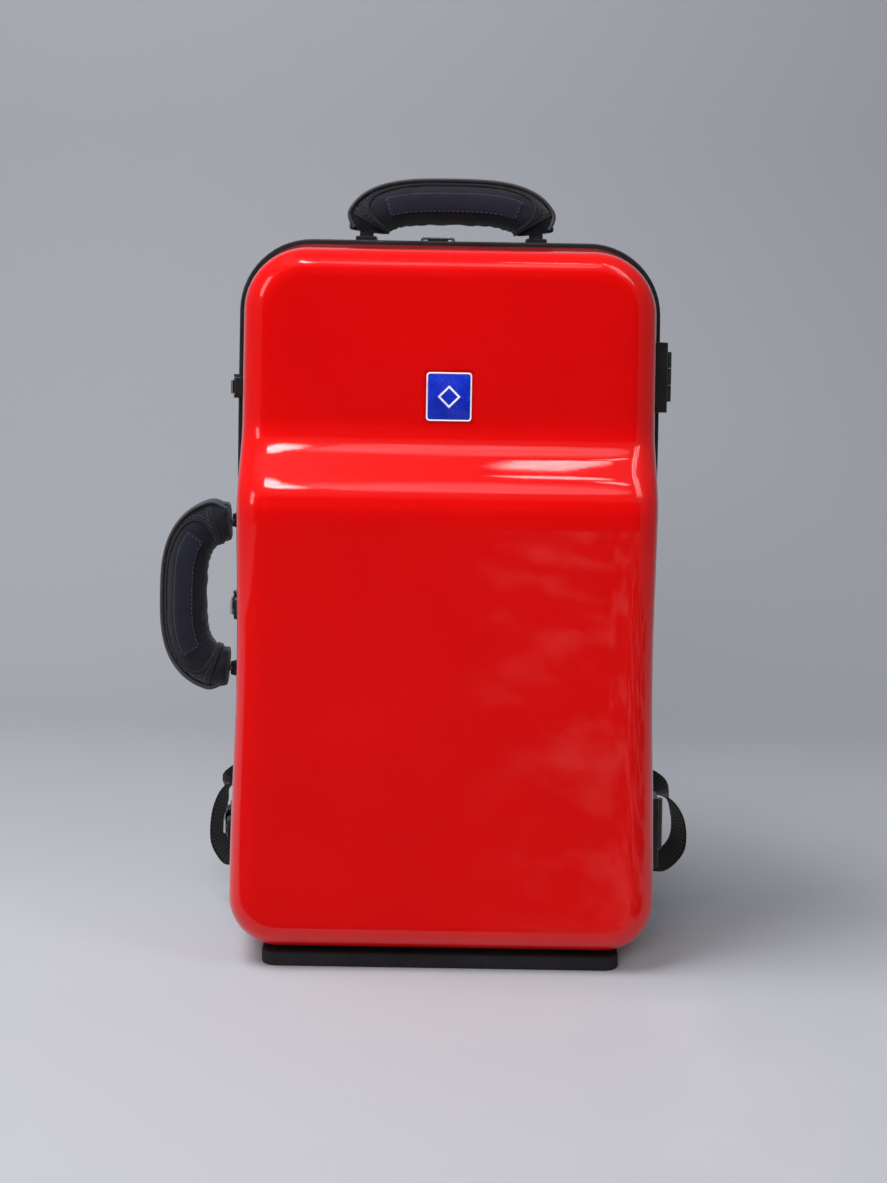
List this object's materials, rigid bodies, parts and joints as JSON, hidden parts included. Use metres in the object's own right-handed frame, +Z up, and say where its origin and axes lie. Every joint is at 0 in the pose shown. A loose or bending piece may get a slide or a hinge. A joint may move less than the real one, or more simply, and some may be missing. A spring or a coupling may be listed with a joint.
{
  "type": "musical instrument case",
  "caption": "Upright moulded hard case with a stepped glossy lid, side hinges and latches, padded handles, backpack straps and a fitted foam interior.",
  "frame": {"origin": "on the floor, on the flat underside of the lid's bumper, under the middle of the case's width", "axes": "+Z up along the standing case's length, -Y out of the lid's face, +X towards the hinged side"},
  "size_m": [0.4784, 0.2253, 0.668],
  "materials": {
    "red_shell": "high gloss lacquer",
    "black_shell": "satin",
    "black_trim": "satin",
    "rubber": "matte",
    "bright_steel": "polished",
    "blue_enamel": "gloss enamel",
    "plush": "short pile",
    "neoprene": "knit-faced foam, matte",
    "webbing": "woven, matte"
  },
  "bodies": {
    "base": {"base_shell": "black_shell", "base_rim": "black_trim", "top_ring_bracket": "black_trim", "base_bumper": "rubber", "back_foot_lower_left": "rubber", "back_foot_lower_right": "rubber", "back_foot_upper_left": "rubber", "back_foot_upper_right": "rubber", "base_insert": "plush", "hinge_upper_base_leaf": "black_trim", "hinge_upper_pin": "bright_steel", "hinge_lower_base_leaf": "black_trim", "hinge_lower_pin": "bright_steel", "latch_upper_plate": "black_trim", "latch_upper_pin": "bright_steel", "latch_middle_plate": "black_trim", "latch_middle_pin": "bright_steel", "latch_lower_plate": "black_trim", "latch_lower_pin": "bright_steel", "top_handle_lug_low": "black_trim", "top_handle_lug_high": "black_trim", "side_handle_lug_low": "black_trim", "side_handle_lug_high": "black_trim", "strap_left_top_anchor": "black_trim", "strap_left_buckle": "black_trim", "strap_left_side_anchor": "black_trim", "strap_left_top_webbing": "webbing", "strap_left_lower_webbing": "webbing", "strap_left_pad": "neoprene", "strap_right_top_anchor": "black_trim", "strap_right_buckle": "black_trim", "strap_right_side_anchor": "black_trim", "strap_right_top_webbing": "webbing", "strap_right_lower_webbing": "webbing", "strap_right_pad": "neoprene"},
    "lid": {"lid_shell": "red_shell", "lid_rim": "black_trim", "lid_seal": "rubber", "lid_liner": "plush", "badge_frame": "bright_steel", "badge_plate": "blue_enamel", "lid_bumper": "rubber", "hinge_upper_lid_leaf": "black_trim", "hinge_lower_lid_leaf": "black_trim", "latch_upper_keeper": "black_trim", "latch_middle_keeper": "black_trim", "latch_lower_keeper": "black_trim"},
    "latch_upper_lever": {"latch_upper_lever": "black_trim"},
    "latch_upper_claw": {"latch_upper_claw": "bright_steel"},
    "latch_middle_lever": {"latch_middle_lever": "black_trim"},
    "latch_middle_claw": {"latch_middle_claw": "bright_steel"},
    "latch_lower_lever": {"latch_lower_lever": "black_trim"},
    "latch_lower_claw": {"latch_lower_claw": "bright_steel"},
    "top_handle": {"top_handle_strap": "webbing", "top_handle_grip": "neoprene"},
    "side_handle": {"side_handle_strap": "webbing", "side_handle_grip": "neoprene"},
    "top_ring": {"top_ring": "bright_steel"},
    "accessory_cover": {"accessory_cover": "plush", "accessory_cover_tab": "webbing"}
  },
  "joints": [
    {"name": "lid_hinge", "type": "hinge", "parent": "base", "child": "lid", "pos_m": [0.19246, 0.012, 0.296], "axis": [0, 0, 1], "range_deg": [0, 110]},
    {"name": "latch_upper_lever_pivot", "type": "hinge", "parent": "base", "child": "latch_upper_lever", "pos_m": [-0.19048, 0.028, 0.48], "axis": [0, 0, 1], "range_deg": [0, 100]},
    {"name": "latch_upper_claw_pivot", "type": "hinge", "parent": "latch_upper_lever", "child": "latch_upper_claw", "pos_m": [-0.18984, 0.037, 0.48], "axis": [0, 0, 1], "range_deg": [-100, 0]},
    {"name": "latch_middle_lever_pivot", "type": "hinge", "parent": "base", "child": "latch_middle_lever", "pos_m": [-0.18848, 0.028, 0.285], "axis": [0, 0, 1], "range_deg": [0, 100]},
    {"name": "latch_middle_claw_pivot", "type": "hinge", "parent": "latch_middle_lever", "child": "latch_middle_claw", "pos_m": [-0.18784, 0.037, 0.285], "axis": [0, 0, 1], "range_deg": [-100, 0]},
    {"name": "latch_lower_lever_pivot", "type": "hinge", "parent": "base", "child": "latch_lower_lever", "pos_m": [-0.19187, 0.028, 0.09], "axis": [0, 0, 1], "range_deg": [0, 100]},
    {"name": "latch_lower_claw_pivot", "type": "hinge", "parent": "latch_lower_lever", "child": "latch_lower_claw", "pos_m": [-0.19123, 0.037, 0.09], "axis": [0, 0, 1], "range_deg": [-100, 0]},
    {"name": "top_handle_pivot", "type": "hinge", "parent": "base", "child": "top_handle", "pos_m": [0, 0.058, 0.6165], "axis": [1, 0, 0], "range_deg": [-40, 40]},
    {"name": "side_handle_pivot", "type": "hinge", "parent": "base", "child": "side_handle", "pos_m": [-0.18791, 0.058, 0.288], "axis": [0, 0, -1], "range_deg": [-40, 40]},
    {"name": "top_ring_pivot", "type": "hinge", "parent": "base", "child": "top_ring", "pos_m": [-0.012, 0.0249, 0.6115], "axis": [1, 0, 0], "range_deg": [-8, 20]},
    {"name": "accessory_cover_hinge", "type": "hinge", "parent": "base", "child": "accessory_cover", "pos_m": [0.1477, 0.0194, 0.48], "axis": [0, 0, 1], "range_deg": [0, 80]}
  ],
  "couplings": [
    {"joint": "latch_upper_claw_pivot", "follows": "latch_upper_lever_pivot", "ratio": -1},
    {"joint": "latch_middle_claw_pivot", "follows": "latch_middle_lever_pivot", "ratio": -1},
    {"joint": "latch_lower_claw_pivot", "follows": "latch_lower_lever_pivot", "ratio": -1}
  ]
}
